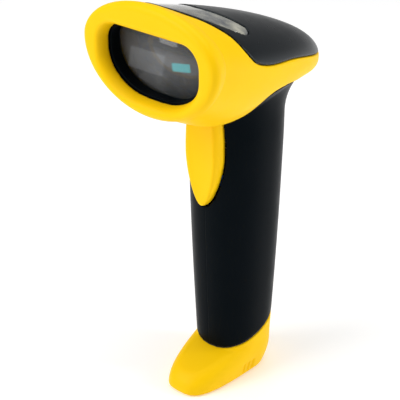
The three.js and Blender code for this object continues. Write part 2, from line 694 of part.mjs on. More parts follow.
function mainBoard() {
  const half = BOARD_LENGTH / 2;
  const outline = [
    [-BOARD_HALF_WIDTH, -half], [BOARD_HALF_WIDTH, -half], [BOARD_HALF_WIDTH, 8],
    [BOARD_REAR_HALF, half], [-BOARD_REAR_HALF, half], [-BOARD_HALF_WIDTH, 8],
  ].map(([x, y]) => new THREE.Vector2(x, y));
  const holes = BOARD_SCREWS.map(([x, y]) => rod(Z_AXIS, 1.0 + FIT, 10, x, y, 0, 14));
  return cut(planPrism(new THREE.Shape(outline), -BOARD_THICKNESS / 2, BOARD_THICKNESS / 2), ...holes);
}

function innerFrame() {
  const under = -BOARD_THICKNESS / 2 - 5;
  const rails = cut(box(29, 20, 1.8, 0, 10, under), box(17, 13, 4, 0, 10, under));
  const posts = BOARD_SCREWS.map(([x, y]) => rod(Z_AXIS, 2.4, 5.4, x, y, under + 2, 16));
  const holes = BOARD_SCREWS.map(([x, y]) => rod(Z_AXIS, 1.0 + FIT, 5.2, x, y, under + 2.8, 14));
  return cut(join(rails, ...posts), ...holes);
}

function boardScrew([x, y]) {
  return screw(2, 1.2, 1, 4.6).rotate([180, 0, 0]).translate([x, y, BOARD_THICKNESS / 2 + FIT]);
}

// A low component standing on the board (level +1) or hanging under it (level -1).
function onBoard(width, depth, height, x, y, level = 1) {
  return box(width, depth, height, x, y, level * (BOARD_THICKNESS / 2 + FIT + height / 2));
}

function beeper() {
  const z = BOARD_THICKNESS / 2 + FIT;
  const can = rod(Z_AXIS, 5, 4.4, -6, 3, z + 2.2, 24);
  return cut(can, rod(Z_AXIS, 0.9, 3, -6, 3, z + 4.4, 12));
}

// ---------------------------------------------------------------- optics
const LENS_X = 3.2;
const LENS_Z = CENTRE_AT_NOSE - 15.4;
const BARREL_RADIUS = 2.7;
const CHASSIS_FRONT = LIP_FACE + 20;
const CHASSIS_BACK = CHASSIS_FRONT + 24;
const CHASSIS_BOTTOM = LENS_Z - 4.4;
const CHASSIS_TOP = CHASSIS_BOTTOM + 11.8;
const MIRROR_TILT = -12 * Math.PI / 180;
const MIRROR_AT = [-16.5, CHASSIS_FRONT - 2.4, LENS_Z + 4];
const FILTER_ROLL = 10 * Math.PI / 180;

function mirrorBlock(width, depth, height, forwards) {
  const geometry = new THREE.BoxGeometry(width, depth, height).translate(0, -forwards, 0);
  return solid(geometry.rotateX(MIRROR_TILT).translate(...MIRROR_AT));
}

function opticsChassis() {
  const depth = CHASSIS_BACK - CHASSIS_FRONT;
  const middle = (CHASSIS_BACK + CHASSIS_FRONT) / 2;
  const height = CHASSIS_TOP - CHASSIS_BOTTOM;
  const block = box(28, depth, height, 1, middle, CHASSIS_BOTTOM + height / 2);
  const wing = box(12, 20, 12.4, -16, CHASSIS_FRONT + 6, CHASSIS_BOTTOM + 6.1);
  const tray = box(34, depth + 5, 2.2, -2, middle - 2.5, CHASSIS_BOTTOM - 0.9);
  const tunnel = box(17, 20, 9, 4, CHASSIS_BACK - 5.5, CHASSIS_BOTTOM + 5.6);
  const bore = rod(Y_AXIS, BARREL_RADIUS + FIT, 24, LENS_X, CHASSIS_FRONT, LENS_Z, 24);
  return cut(join(block, wing, tray), tunnel, bore, mirrorBlock(40, 12, 30, 6 - 0.6 - FIT));
}

const foldMirror = () => mirrorBlock(19, 1.2, 8.4, 0);

function opticalFilter() {
  const geometry = new THREE.BoxGeometry(9.4, 0.8, 3.3).rotateY(-FILTER_ROLL);
  return solid(geometry.translate(1.4, CHASSIS_FRONT - FIT - 0.5, LENS_Z + 5));
}

function lensBarrel() {
  const outer = rod(Y_AXIS, BARREL_RADIUS, 13, LENS_X, CHASSIS_FRONT + 4.5, LENS_Z, 20);
  return cut(outer, rod(Y_AXIS, BARREL_RADIUS - 0.7, 20, LENS_X, CHASSIS_FRONT + 4.5, LENS_Z, 24));
}

function objectiveLens() {
  const radius = BARREL_RADIUS - 0.7 - FIT;
  const crown = steps(0, Math.PI / 2, 4).map((turn) => (
    new THREE.Vector2(radius * Math.cos(turn), 1 + 0.8 * Math.sin(turn))
  ));
  crown[4].x = 0;
  const profile = [new THREE.Vector2(0, 0), new THREE.Vector2(radius, 0), ...crown];
  const geometry = new THREE.LatheGeometry(profile, 20).rotateX(Math.PI);
  return solid(geometry.translate(LENS_X, CHASSIS_FRONT + 1, LENS_Z));
}

const SENSOR_BOARD_FRONT = CHASSIS_BACK + 1.4;
const LIGHT_Z = WINDOW_TOP - 8;
const BAR_BACK = PANE_BACK + 2.6;

function lightBar() {
  const shape = new THREE.Shape();
  shape.moveTo(-2, 0);
  shape.lineTo(2, 0);
  shape.absarc(0, 0, 2, 0, Math.PI, false);
  const geometry = new THREE.ExtrudeGeometry(shape, { depth: 34, bevelEnabled: false, curveSegments: 8 });
  geometry.scale(1, 0.6, 1).translate(0, 0, -17).applyMatrix4(new THREE.Matrix4().makeBasis(
    new THREE.Vector3(0, 0, 1), new THREE.Vector3(0, -1, 0), new THREE.Vector3(1, 0, 0),
  ));
  return solid(geometry.translate(0, BAR_BACK, LIGHT_Z));
}

function led(index) {
  const x = blend(-13.5, 13.5, index / 3);
  return box(3.2, 1.4, 2.4, x, BAR_BACK + FIT + 0.7, LIGHT_Z);
}

// ---------------------------------------------------------------- colours
function finish(color, roughness, metalness = 0) {
  return new THREE.MeshStandardMaterial({ color, roughness, metalness });
}

const YELLOW = finish(0xffd21e, 0.45);
const BLACK = finish(0x22262a, 0.5);
const RUBBER = finish(0x111111, 0.9);
const SMOKED = finish(0x3a3f46, 0.1);
const CLEAR = finish(0xdfe6ea, 0.1);
const STEEL = finish(0xb8bcc0, 0.3, 1);
const GOLD = finish(0xd9b45b, 0.3, 1);
const BOARD_GREEN = finish(0x1f5c3a, 0.6);
const CHIP = finish(0x17181a, 0.6);
const TEAL = finish(0x58bec4, 0.2);
const MIRROR = finish(0xd8dde0, 0.05, 1);
const CELL_WRAP = finish(0x2f6fb0, 0.4);
const RED_WIRE = finish(0xb3201c, 0.5);
const WHITE = finish(0xf2f2ee, 0.5);

// ---------------------------------------------------------------- assembly
const scanner = new THREE.Group();

function place(name, body, material, parent = scanner) {
  const mesh = new THREE.Mesh(geometryOf(body), material);
  mesh.name = name;
  parent.add(mesh);
  return mesh;
}

function addCasings() {
  place('nose_shroud', noseShroud(), YELLOW);
  place('top_cover', topCover(), BLACK);
  place('status_lens', statusLens(), SMOKED);
  place('handle_left', handleHalf(-1), BLACK);
  place('handle_right', handleHalf(1), BLACK);
  for (const [name, [y, z]] of Object.entries(SHELL_SCREWS)) {
    const body = screw(SCREW_HEAD_RADIUS, SCREW_HEAD_HEIGHT, SCREW_RADIUS, SCREW_LENGTH);
    const mesh = place(`shell_screw_${name}`, body, STEEL);
    mesh.rotation.y = Math.PI / 2;
    mesh.position.set(-SCREW_SEAT - FIT, y, z);
  }
}

function addWindow() {
  place('window_frame', windowFrame(), BLACK);
  place('window_gasket', windowGasket(), RUBBER);
  place('window_pane', windowPane(), SMOKED);
}

function addTrigger() {
  place('trigger', trigger(), YELLOW);
  place('trigger_pin', rod(X_AXIS, PIVOT_RADIUS, 2 * PIVOT_HALF_LENGTH, 0, PIVOT_Y, PIVOT_Z), STEEL);
  place('trigger_spring', triggerSpring(), STEEL);
  place('trigger_switch', triggerSwitch(), CHIP);
  place('switch_plunger', switchPlunger(), WHITE);
  place('trigger_board', box(16, 1.2, 18.6, 0, TRIGGER_BOARD_FRONT + 0.6, PIVOT_Z - 12.7), BOARD_GREEN);
}

function addFoot() {
  place('base_cap', baseCap(), YELLOW);
  place('base_seal', baseSeal(), RUBBER);
  place('contact_block', contactBlock(), BLACK);
  place('charge_contact_left', chargeContact(-1), GOLD);
  place('charge_contact_right', chargeContact(1), GOLD);
  place('charge_board', box(14, 7, 1, 0, CONTACT_Y + 1, 6), BOARD_GREEN);
  const body = screw(SCREW_HEAD_RADIUS, SCREW_HEAD_HEIGHT, SCREW_RADIUS, SCREW_LENGTH + 4);
  place('base_screw', body, STEEL).position.set(0, BASE_SCREW_Y, BASE_SCREW_SEAT - FIT);
}

function addBattery() {
  place('battery_cell', batteryCell(), CELL_WRAP);
  place('battery_cradle', batteryCradle(), BLACK);
  place('battery_contact', batteryContact(), STEEL);
  place('battery_spring', batterySpring(), STEEL);
  const socket = [[-1.6, RED_WIRE, 'battery_wire_red'], [1.6, RUBBER, 'battery_wire_black']];
  for (const [x, material, name] of socket) {
    const start = [x, CELL_Y + 2.4, CELL_TOP + 7.8];
    const points = [start, [x * 1.5, 4, 118], [x * 1.5, 5, UNDERSIDE - 4.5], fromBoard(x - 3, 13, -8)];
    place(name, wireBetween(points, 0.7), material);
  }
}

function addElectronics() {
  scanner.add(boardFrame);
  place('main_board', mainBoard(), BOARD_GREEN, boardFrame);
  place('inner_frame', innerFrame(), BLACK, boardFrame);
  place('board_screw_left', boardScrew(BOARD_SCREWS[0]), STEEL, boardFrame);
  place('board_screw_right', boardScrew(BOARD_SCREWS[1]), STEEL, boardFrame);
  place('decoder_chip', onBoard(12, 12, 1.4, 4, -13), CHIP, boardFrame);
  place('memory_chip', onBoard(7, 9, 1.1, -8, -13), CHIP, boardFrame);
  place('radio_module', onBoard(13, 10, 2, 0, 17), STEEL, boardFrame);
  place('antenna', onBoard(9, 2.4, 1.2, 0, 26), WHITE, boardFrame);
  place('beeper', beeper(), CHIP, boardFrame);
  place('status_led', onBoard(3, 2, 1.2, 0, -26), WHITE, boardFrame);
  place('battery_connector', onBoard(8, 5, 5.2, -3, 13, -1), WHITE, boardFrame);
  place('light_pipe', rod(Z_AXIS, 2.2, 6, 0, CHASSIS_FRONT + 2.8, CENTRE_AT_NOSE + 7.6), CLEAR);
}

function addOptics() {
  place('optics_chassis', opticsChassis(), BLACK);
  place('fold_mirror', foldMirror(), MIRROR);
  place('optical_filter', opticalFilter(), TEAL);
  place('lens_barrel', lensBarrel(), BLACK);
  place('objective_lens', objectiveLens(), CLEAR);
  place('image_sensor', box(16, 1.8, 4, 4, SENSOR_BOARD_FRONT - FIT - 0.9, LENS_Z + 1.2), CHIP);
  place('sensor_board', box(26, 1.2, 12, 3, SENSOR_BOARD_FRONT + 0.6, LENS_Z + 1.2), BOARD_GREEN);
  place('led_board', box(34, 1.2, 7, 0, BAR_BACK + 2 * FIT + 2, LIGHT_Z), BOARD_GREEN);
  place('light_bar', lightBar(), CLEAR);
  for (let index = 0; index < 4; index += 1) {
    place(`led_${index + 1}`, led(index), WHITE);
  }
}

addCasings();
addWindow();
addTrigger();
addFoot();
addBattery();
addElectronics();
addOptics();

export default scanner;
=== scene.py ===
import json
import math

import bmesh
import bpy
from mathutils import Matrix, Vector


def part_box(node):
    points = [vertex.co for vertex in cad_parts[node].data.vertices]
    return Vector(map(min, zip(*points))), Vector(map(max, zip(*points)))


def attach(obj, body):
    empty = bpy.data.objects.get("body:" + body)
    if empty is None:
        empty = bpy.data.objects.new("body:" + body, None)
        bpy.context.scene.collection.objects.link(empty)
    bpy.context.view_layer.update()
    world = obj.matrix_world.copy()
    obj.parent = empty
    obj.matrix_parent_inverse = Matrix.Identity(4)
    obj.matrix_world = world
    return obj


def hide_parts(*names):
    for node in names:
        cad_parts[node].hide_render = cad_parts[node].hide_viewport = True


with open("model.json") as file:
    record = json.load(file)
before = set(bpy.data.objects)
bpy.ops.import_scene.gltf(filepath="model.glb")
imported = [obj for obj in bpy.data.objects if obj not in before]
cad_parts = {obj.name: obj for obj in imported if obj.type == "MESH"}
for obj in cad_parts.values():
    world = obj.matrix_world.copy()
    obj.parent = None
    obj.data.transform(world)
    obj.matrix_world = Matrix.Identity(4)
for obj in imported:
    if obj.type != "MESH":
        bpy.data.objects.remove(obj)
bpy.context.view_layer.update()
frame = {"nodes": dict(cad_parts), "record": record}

# Cordless handheld barcode scanner: finer casings, materials, light and camera round the frame.
# Shapes are worked out in millimetres in the frame's own axes (+Z up, nose towards -Y), and stored
# in metres.
MM = 0.001


def span(node):
    """The lowest and highest corner of a CAD node, in millimetres."""
    low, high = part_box(node)
    return low / MM, high / MM


# ---------------------------------------------------------------- sizes taken from the frame
shroud_low, shroud_high = span("nose_shroud")
cap_low = span("base_cap")[0]
window_low, window_high = span("window_frame")
pivot_low, pivot_high = span("trigger_pin")
screw_places = [
    [(a + b) / 2 for a, b in zip(*span(f"shell_screw_{name}"))] for name in ("upper", "middle", "lower")
]

TOTAL_HEIGHT = shroud_high.z
NOSE_REACH = -shroud_low.y
TAIL_REACH = shroud_high.y
LIP_HALF_WIDTH = shroud_high.x
TOE_REACH = -cap_low.y
PIVOT_Z = (pivot_low.z + pivot_high.z) / 2

# ---------------------------------------------------------------- sizes of the forms
LIP_RISE = 20
LIP_DROP = 27.4
LIP_DEPTH = 11
LIP_ROUND = 3.2
LIP_TAPER = ((0.3, 0), (0.55, 0.9), (0.8, 2.4), (1, 5))
HEAD_HALF_WIDTH = 34.3
HEAD_RISE = 20
HEAD_DROP = 30.5
HEAD_NOSE_DROP = 26
HEAD_TAIL_DROP = 12.5
HEAD_FALL = 26.5
HEAD_TAPER = 0.14
HEAD_ROUNDNESS = 0.88
NOSE_SHARE = 0.25
TAIL_SHARE = (0.2, 0.6)
TAIL_PLAN_POWER = 2.4
TAIL_CROWN_POWER = 3.1
TAIL_KEEL_POWER = 5
TAIL_END = 0.9996
SHELL_START = 3
SKIN_START = 4
BELLY_START = 8
WALL = 2.2
HANDLE_TOP_HALF = 19.4
HANDLE_BOTTOM_HALF = 15.8
HANDLE_BULGE = 0.4
HANDLE_OVAL = 1.11
HANDLE_ROUNDNESS = 0.89
HANDLE_RISE = 9
TAPER_DROP = 18.5
UNDERSIDE_DROP = 31.1
FLARE_HEIGHT = 10
FLARE_RISE = 8
FLARE_REAR = 36
FLARE_HALF_WIDTH = 25.5
FLARE_REACH = 0.985
FLARE_ROUNDNESS = 1.3
BELLY_INSET = 0.3
HEEL_REACH = 9
FOOT_HALF_WIDTH = 13.5
FOOT_FRONT_HEIGHT = 15.7
FOOT_TILT = 0.36
FOOT_FLOOR = 2.6
FOOT_EDGE = 0.8
HEEL_HEIGHT = 12
FOOT_SIDE_HEIGHT = 13
TOE_ROUNDNESS = 0.58
TOE_DROP_POWER = 2.6
TOE_FILL_POWER = 0.9
NOTCH_RADIUS = 0.9
NOTCH_BOTTOM = 1.4
NOTCH_TOP = 7.4
NOTCH_PLACES = (-9, -6, -3)
SEAM = 0.3
SEAM_SLANT = 0.8
SEAM_LINE = 0.08
SEAL_ROOM = 1.0
WINDOW_HALF_WIDTH = 26.2
WINDOW_TOP = 177
WINDOW_HEIGHT = 28
WINDOW_CORNER = 8
WINDOW_SWEEP = 22
WINDOW_LIFT = 17
RECESS_DEPTH = 5.9
RECESS_FLARE = 2.9
RECESS_WALL = 2.6
FRAME_FLANGE = 1.4
FRAME_BAND = 0.8
PANE_ROOM = 0.02
STATUS_SINK = 0.35
STATUS_DEPTH = 2
FIT = 0.3
TRIGGER_HALF_WIDTH = 9.4
TRIGGER_FACE = 24.4
TRIGGER_LEAN = math.radians(-1.5)
TRIGGER_ROLL_DEPTH = 3.2
TRIGGER_ROLL_WIDTH = 2.8
TRIGGER_BACK = 1.5
TRIGGER_BODY = 10
TRIGGER_GAP = 0.5
TIP_ROOM = 0.5
TRIGGER_TIP = 90.6
TRIGGER_TOP = 133.5
TRIGGER_SLOT = (-38, -8)
TIP_ROUND = 3.4
TIP_LENGTH = 23.4
TOP_NARROWING = 0.6
DISH_DEPTH = 0.8
DISH_RADIUS = 40
DISH_SPAN = (60, 150)
SCREW_HEAD_RADIUS = 2.3
SCREW_SEAT = 8

# Limits of the cutting solids, clear of what they cut.
FAR = 60
FAR_REAR = 70
FAR_BELOW = -40
FAR_ABOVE = 230
UNDER_COVER = 160
COVER_FRONT = -45

CENTRE_AT_NOSE = TOTAL_HEIGHT - LIP_RISE
UNDERSIDE = CENTRE_AT_NOSE - UNDERSIDE_DROP
HANDLE_TOP = UNDERSIDE + HANDLE_RISE
TAPER_TOP = UNDERSIDE - TAPER_DROP
LIP_FACE = -NOSE_REACH
RECESS_BACK = LIP_FACE + RECESS_DEPTH

# The parting lines seen from the side, as (y, z): where a casing meets the next one.
COVER_LINE = (
    (-50.2, 193), (-47, 187.5), (-41, 183.6), (-35, 178), (-30.5, 171), (-25, 165.4),
    (-14, 161.2), (8, 157), (36, 149), (49, 146.4), (FAR_REAR, 144),
)
NECK_LINE = (
    (-24.5, 100), (-24.5, 128), (-21.5, 138), (-12, 146), (2, 146.6), (15, 143.8),
    (30, 139.6), (42, 136.8), (60, 132),
)


# ---------------------------------------------------------------- small tools
def mix(start, end, share):
    return start + (end - start) * share


def steps(start, end, count):
    return [mix(start, end, i / count) for i in range(count + 1)]


def clamp(value, low, high):
    return min(high, max(low, value))


def smooth(value):
    share = clamp(value, 0, 1)
    return share * share * (3 - 2 * share)


def power(value, exponent):
    return math.copysign(abs(value) ** exponent, value)


def arc(centre, radii, start, end, count):
    """Points along an ellipse's arc, from one angle to another in degrees."""
    turns = [math.radians(angle) for angle in steps(start, end, count)]
    return [(centre[0] + radii[0] * math.cos(a), centre[1] + radii[1] * math.sin(a)) for a in turns]


def bezier(a, b, c, d, count):
    """Points along a cubic curve, without its last point."""
    points = []
    for t in steps(0, 1, count)[:-1]:
        s = 1 - t
        weights = (s ** 3, 3 * s * s * t, 3 * s * t * t, t ** 3)
        points.append(tuple(sum(w * p[k] for w, p in zip(weights, (a, b, c, d))) for k in (0, 1)))
    return points


def spline(points, count):
    """Points along a Catmull-Rom curve through the given points."""
    line = []
    last = len(points) - 1
    for t in steps(0, last, count):
        i = min(int(t), last - 1)
        w = t - i
        around = [points[clamp(i + k, 0, last)] for k in (-1, 0, 1, 2)]
        point = []
        for p0, p1, p2, p3 in zip(*around):
            v0 = (p2 - p0) / 2
            v1 = (p3 - p1) / 2
            cubic = (2 * p1 - 2 * p2 + v0 + v1) * w ** 3
            square = (3 * p2 - 3 * p1 - 2 * v0 - v1) * w ** 2
            point.append(cubic + square + v0 * w + p1)
        line.append(tuple(point))
    return line


# ---------------------------------------------------------------- solids
def solid(verts, faces):
    """A closed mesh object from points in millimetres, with its faces turned outwards."""
    mesh = bpy.data.meshes.new("solid")
    mesh.from_pydata([[c * MM for c in v] for v in verts], [], faces)
    form = bmesh.new()
    form.from_mesh(mesh)
    bmesh.ops.remove_doubles(form, verts=form.verts, dist=1e-7)
    bmesh.ops.recalc_face_normals(form, faces=form.faces)
    form.to_mesh(mesh)
    form.free()
    body = bpy.data.objects.new("solid", mesh)
    bpy.context.scene.collection.objects.link(body)
    return body


def skin(rings):
    """A closed solid through rings of points, each with the same number of points."""
    count = len(rings[0])
    verts = [point for ring in rings for point in ring]
    faces = [tuple(range(count)), tuple(range(len(verts) - 1, len(verts) - count - 1, -1))]
    for level in range(len(rings) - 1):
        for i in range(count):
            j = (i + 1) % count
            base = level * count
            faces.append((base + i, base + j, base + count + j, base + count + i))
    return solid(verts, faces)


def loft(stations, sides, section):
    """A solid through the sections that section(station, angle) gives."""
    angles = [math.tau * i / sides for i in range(sides)]
    return skin([[section(station, angle) for angle in angles] for station in stations])


def prism(outline, axis, start, end):
    """An outline pushed along an axis: its two coordinates are the other axes, in order."""
    rings = []
    for place in (start, end):
        ring = []
        for point in outline:
            full = list(point)
            full.insert("xyz".index(axis), place)
            ring.append(full)
        rings.append(ring)
    return skin(rings)


def rod(axis, radius, start, end, centre, sides=48):
    return prism(arc(centre, (radius, radius), 0, 360, sides)[:-1], axis, start, end)


def block(low, high):
    corners = [(low[0], low[1]), (high[0], low[1]), (high[0], high[1]), (low[0], high[1])]
    return prism(corners, "z", low[2], high[2])


def bake(body):
    """Applies the modifiers of a solid."""
    graph = bpy.context.evaluated_depsgraph_get()
    result = bpy.data.meshes.new_from_object(body.evaluated_get(graph))
    old = body.data
    body.modifiers.clear()
    body.data = result
    bpy.data.meshes.remove(old)
    return body


def combine(body, tools, operation):
    """Joins tools to a body, cuts them out of it or keeps what they share. The tools are used up."""
    for tool in tools:
        modifier = body.modifiers.new("combine", "BOOLEAN")
        modifier.operation = operation
        modifier.solver = "MANIFOLD"
        modifier.object = tool
        bake(body)
        bpy.data.objects.remove(tool)
    return body


def join(body, *tools):
    return combine(body, tools, "UNION")


def cut(body, *tools):
    return combine(body, tools, "DIFFERENCE")


def common(body, *tools):
    return combine(body, tools, "INTERSECT")


def soften(body, grain, passes):
    """Rounds every edge of a moulding: an even skin of small faces, smoothed a few times."""
    remesh = body.modifiers.new("skin", "REMESH")
    remesh.mode = "VOXEL"
    remesh.voxel_size = grain * MM
    remesh.use_smooth_shade = True
    relax = body.modifiers.new("relax", "SMOOTH")
    relax.factor = 0.5
    relax.iterations = passes
    return bake(body)


# ---------------------------------------------------------------- head form
def head_length(inset):
    return NOSE_REACH + TAIL_REACH - inset


def head_size(y, inset):
    """The height of the head's middle, its half width, its rise and its drop at one place along it."""
    t = clamp((y + NOSE_REACH) / head_length(inset), 0, 1)
    tail_start, tail_length = TAIL_SHARE
    nose_drop = mix(HEAD_NOSE_DROP, HEAD_DROP, smooth(t / NOSE_SHARE))
    drop = mix(nose_drop, HEAD_TAIL_DROP, smooth((t - tail_start) / tail_length))
    centre = CENTRE_AT_NOSE - HEAD_FALL * (y + NOSE_REACH) / head_length(0)
    half = (HEAD_HALF_WIDTH - inset) * math.sqrt(1 - t ** TAIL_PLAN_POWER) * (1 - HEAD_TAPER * t)
    rise = (HEAD_RISE - inset) * math.sqrt(1 - t ** TAIL_CROWN_POWER)
    return centre, half, rise, (drop - inset) * math.sqrt(1 - t ** TAIL_KEEL_POWER)


def head_loft(inset, front):
    """The head from its nose to its rounded tail, with stations that crowd together at the tail."""
    end = TAIL_REACH - inset

    def section(y, angle):
        centre, half, rise, drop = head_size(y, inset)
        height = rise if math.cos(angle) > 0 else drop
        x = half * power(math.sin(angle), HEAD_ROUNDNESS)
        return x, y, centre + height * power(math.cos(angle), HEAD_ROUNDNESS)

    crowding = 1.8
    stations = [mix(front, end, TAIL_END * (1 - (1 - s) ** crowding)) for s in steps(0, 1, 64)]
    return loft(stations, 128, section)


def lip_loft():
    """The flared lip round the window, with a rounded front edge."""
    stations = []
    for share in reversed(steps(0, 1, 10)):
        turn = share * math.pi / 2
        stations.append((LIP_FACE + LIP_ROUND * (1 - math.sin(turn)), LIP_ROUND * (1 - math.cos(turn))))
    for share, inset in spline(LIP_TAPER, 12)[1:]:
        stations.append((LIP_FACE + share * LIP_DEPTH, inset))

    def section(station, angle):
        y, inset = station
        height = LIP_RISE if math.cos(angle) > 0 else LIP_DROP
        x = (LIP_HALF_WIDTH - inset) * math.sin(angle)
        return x, y, CENTRE_AT_NOSE + (height - inset) * math.cos(angle)

    return loft(stations, 144, section)


# ---------------------------------------------------------------- handle form
def handle_size(z, inset):
    """The handle's half width and its reach to the front and rear at one height."""
    share = clamp((z - FOOT_FRONT_HEIGHT) / (TAPER_TOP - FOOT_FRONT_HEIGHT), 0, 1)
    half = mix(HANDLE_BOTTOM_HALF, HANDLE_TOP_HALF, share) + HANDLE_BULGE * math.sin(math.pi * share)
    return half - inset, half * HANDLE_OVAL - inset


def handle_loft(inset, bottom, top):
    def section(z, angle):
        half, reach = handle_size(z, inset)
        x = half * power(math.sin(angle), HANDLE_ROUNDNESS)
        return x, -reach * power(math.cos(angle), HANDLE_ROUNDNESS), z

    return loft(steps(bottom, top, 24), 112, section)


def flare_loft(inset):
    """The concave flare from the handle out to the lower parting line of the head."""
    start = UNDERSIDE - FLARE_HEIGHT
    full = 1 - math.sqrt(1 - FLARE_REACH ** 2)

    def section(stage, angle):
        rearwards = clamp(-math.cos(angle), 0, 1)
        along = min(stage, 1)
        out = (1 - math.sqrt(1 - (FLARE_REACH * along) ** 2)) / full
        end = UNDERSIDE + FLARE_RISE * (1 - rearwards ** 2)
        z = HANDLE_TOP if stage > 1 else mix(start, end, along)
        half, reach = handle_size(z, 0)
        exponent = HANDLE_ROUNDNESS
        if rearwards > 0:
            reach = mix(reach, FLARE_REAR, out)
            exponent = mix(HANDLE_ROUNDNESS, FLARE_ROUNDNESS, out)
        half = mix(half, FLARE_HALF_WIDTH, out)
        x = (half - inset) * power(math.sin(angle), exponent)
        return x, -(reach - inset) * power(math.cos(angle), exponent), z

    return loft(steps(0, 1, 28) + [2], 144, section)


# ---------------------------------------------------------------- parting lines
def cover_region(gap):
    """Everything above the line between the nose shroud and the top cover."""
    outline = [(y + gap * SEAM_SLANT, z + gap) for y, z in spline(COVER_LINE, 70)]
    return prism([*outline, (FAR_REAR, FAR_ABOVE), (COVER_FRONT, FAR_ABOVE)], "x", -FAR, FAR)


def neck_region(gap):
    """Everything below the line between the nose shroud and the neck."""
    outline = [(y + gap * SEAM_SLANT, z - gap) for y, z in spline(NECK_LINE, 60)]
    return prism([*outline, (FAR_REAR, FAR_BELOW), (NECK_LINE[0][0], FAR_BELOW)], "x", -FAR, FAR)


def foot_joint(y):
    """The height of the slanted line between the handle and the foot."""
    return FOOT_FRONT_HEIGHT + FOOT_TILT * (y + HANDLE_BOTTOM_HALF * HANDLE_OVAL)


def foot_region(gap):
    """Everything below the line between the handle and the foot."""
    front, rear, below = -60, 40, -30
    corners = [(front, below), (front, foot_joint(front)), (rear, foot_joint(rear)), (rear, below)]
    return prism([(y, z - gap) for y, z in corners], "x", -FAR, FAR)


# ---------------------------------------------------------------- casings
def window_outline(grow):
    """The window seen from the front: flat on top, with wide elliptical corners below."""
    half = WINDOW_HALF_WIDTH + grow
    top = WINDOW_TOP + grow
    bottom = WINDOW_TOP - WINDOW_HEIGHT - grow
    corner = WINDOW_CORNER + grow
    sweep = arc((half - WINDOW_SWEEP, bottom + WINDOW_LIFT), (WINDOW_SWEEP, WINDOW_LIFT), -90, 0, 20)
    right = sweep + arc((half - corner, top - corner), (corner, corner), 0, 90, 12)
    return right + [(-x, z) for x, z in reversed(right)]


def window_prism(grow, start, end):
    return prism(window_outline(grow), "y", start, end)


def recess():
    """The bowl in front of the window: its wall rolls over into the face of the lip."""
    rings = [[(x, LIP_FACE - 10, z) for x, z in window_outline(RECESS_FLARE)]]
    for share in steps(0, 1, 12):
        turn = share * math.pi / 2
        y = LIP_FACE + RECESS_DEPTH * (1 - math.cos(turn))
        rings.append([(x, y, z) for x, z in window_outline(RECESS_FLARE * (1 - math.sin(turn)))])
    return skin(rings)


def head_shell():
    """The head as one hollow form, before the parting lines divide it."""
    outer = join(head_loft(0, LIP_FACE + SHELL_START), lip_loft())
    return cut(outer, head_loft(WALL, RECESS_BACK + RECESS_WALL))


def neck_body(gap):
    """The handle, its flare and the dark belly under the head, as one solid form."""
    belly = head_loft(BELLY_INSET - gap, LIP_FACE + BELLY_START)
    whole = join(belly, handle_loft(-gap, 0, UNDERSIDE), flare_loft(-gap))
    return common(whole, neck_region(SEAM / 2 - gap))


def nose_shroud():
    """The yellow front of the head, with the recess and the seat of the window."""
    pocket = window_prism(FRAME_FLANGE + FIT, RECESS_BACK, RECESS_BACK + 10)
    shell = cut(head_shell(), recess(), pocket)
    shell = cut(shell, cover_region(-SEAM / 2), neck_region(-SEAM / 2), neck_body(SEAM))
    return soften(shell, grain=0.5, passes=7)


def lens_outline(grow):
    """The status lens seen from above: a crescent behind the lip, wider by grow all round."""
    g = grow
    front = bezier((0, -44.6 - g), (13, -43 - g), (21 + g, -36 - g), (24 + g, -25), 24)
    corner = bezier((24 + g, -25), (24.33 + g, -21.7), (22.8 + g, -19.6), (20, -19 + g), 8)
    rear = bezier((20, -19 + g), (14, -22 + g), (7, -25 + g), (0, -25.6 + g), 20)
    right = front + corner + rear + [(0, -25.6 + g)]
    return right + [(-x, y) for x, y in reversed(right[1:-1])]


def top_cover():
    """The black cover, with an opening for the status lens."""
    pocket = prism(lens_outline(FIT), "z", UNDER_COVER, FAR_ABOVE)
    return soften(cut(common(head_shell(), cover_region(SEAM / 2)), pocket), grain=0.45, passes=5)


def status_lens():
    """The status lens: a shallow sheet that lies just under the cover's surface."""
    start = LIP_FACE + SKIN_START
    sheet = cut(head_loft(STATUS_SINK, start), head_loft(STATUS_DEPTH, start))
    lens = common(sheet, prism(lens_outline(0), "z", UNDER_COVER, FAR_ABOVE), cover_region(SEAM / 2))
    return soften(lens, grain=0.35, passes=4)


def trigger_outline(grow):
    """The tongue seen from the front: a rounded tip that widens into two almost straight sides."""
    half = TRIGGER_HALF_WIDTH + grow
    tip = TRIGGER_TIP - grow
    widest = (half, tip + TIP_LENGTH)
    corner = (half - TOP_NARROWING, TRIGGER_TOP + grow)
    side = bezier((0, tip), (TIP_ROUND + grow, tip), (half - 1.1, tip + 11.4), widest, 26)
    edge = bezier(widest, (half + 0.2, tip + 29), (half + 0.1, tip + 36), corner, 12)
    right = side + edge + [corner]
    return right + [(-x, z) for x, z in reversed(right[1:])]


def trigger_prism(grow, drop):
    """The opening that the tongue moves in."""
    return prism([(x, z - drop) for x, z in trigger_outline(grow)], "y", *TRIGGER_SLOT)


def handle():
    """The whole handle with the trigger's opening and the wells of its three screws."""
    outer = cut(neck_body(0), foot_region(-SEAL_ROOM / 2))
    cavity = head_loft(WALL + BELLY_INSET, RECESS_BACK + RECESS_WALL)
    shell = cut(outer, handle_loft(WALL, -5, HANDLE_TOP + 2), cavity)
    shell = cut(shell, trigger_prism(TRIGGER_GAP, 0), trigger_prism(TRIGGER_GAP, TIP_ROOM))
    well = SCREW_HEAD_RADIUS + FIT
    wells = [rod("x", well, -FAR, -SCREW_SEAT, (y, z)) for _, y, z in screw_places]
    return soften(cut(shell, *wells), grain=0.55, passes=5)


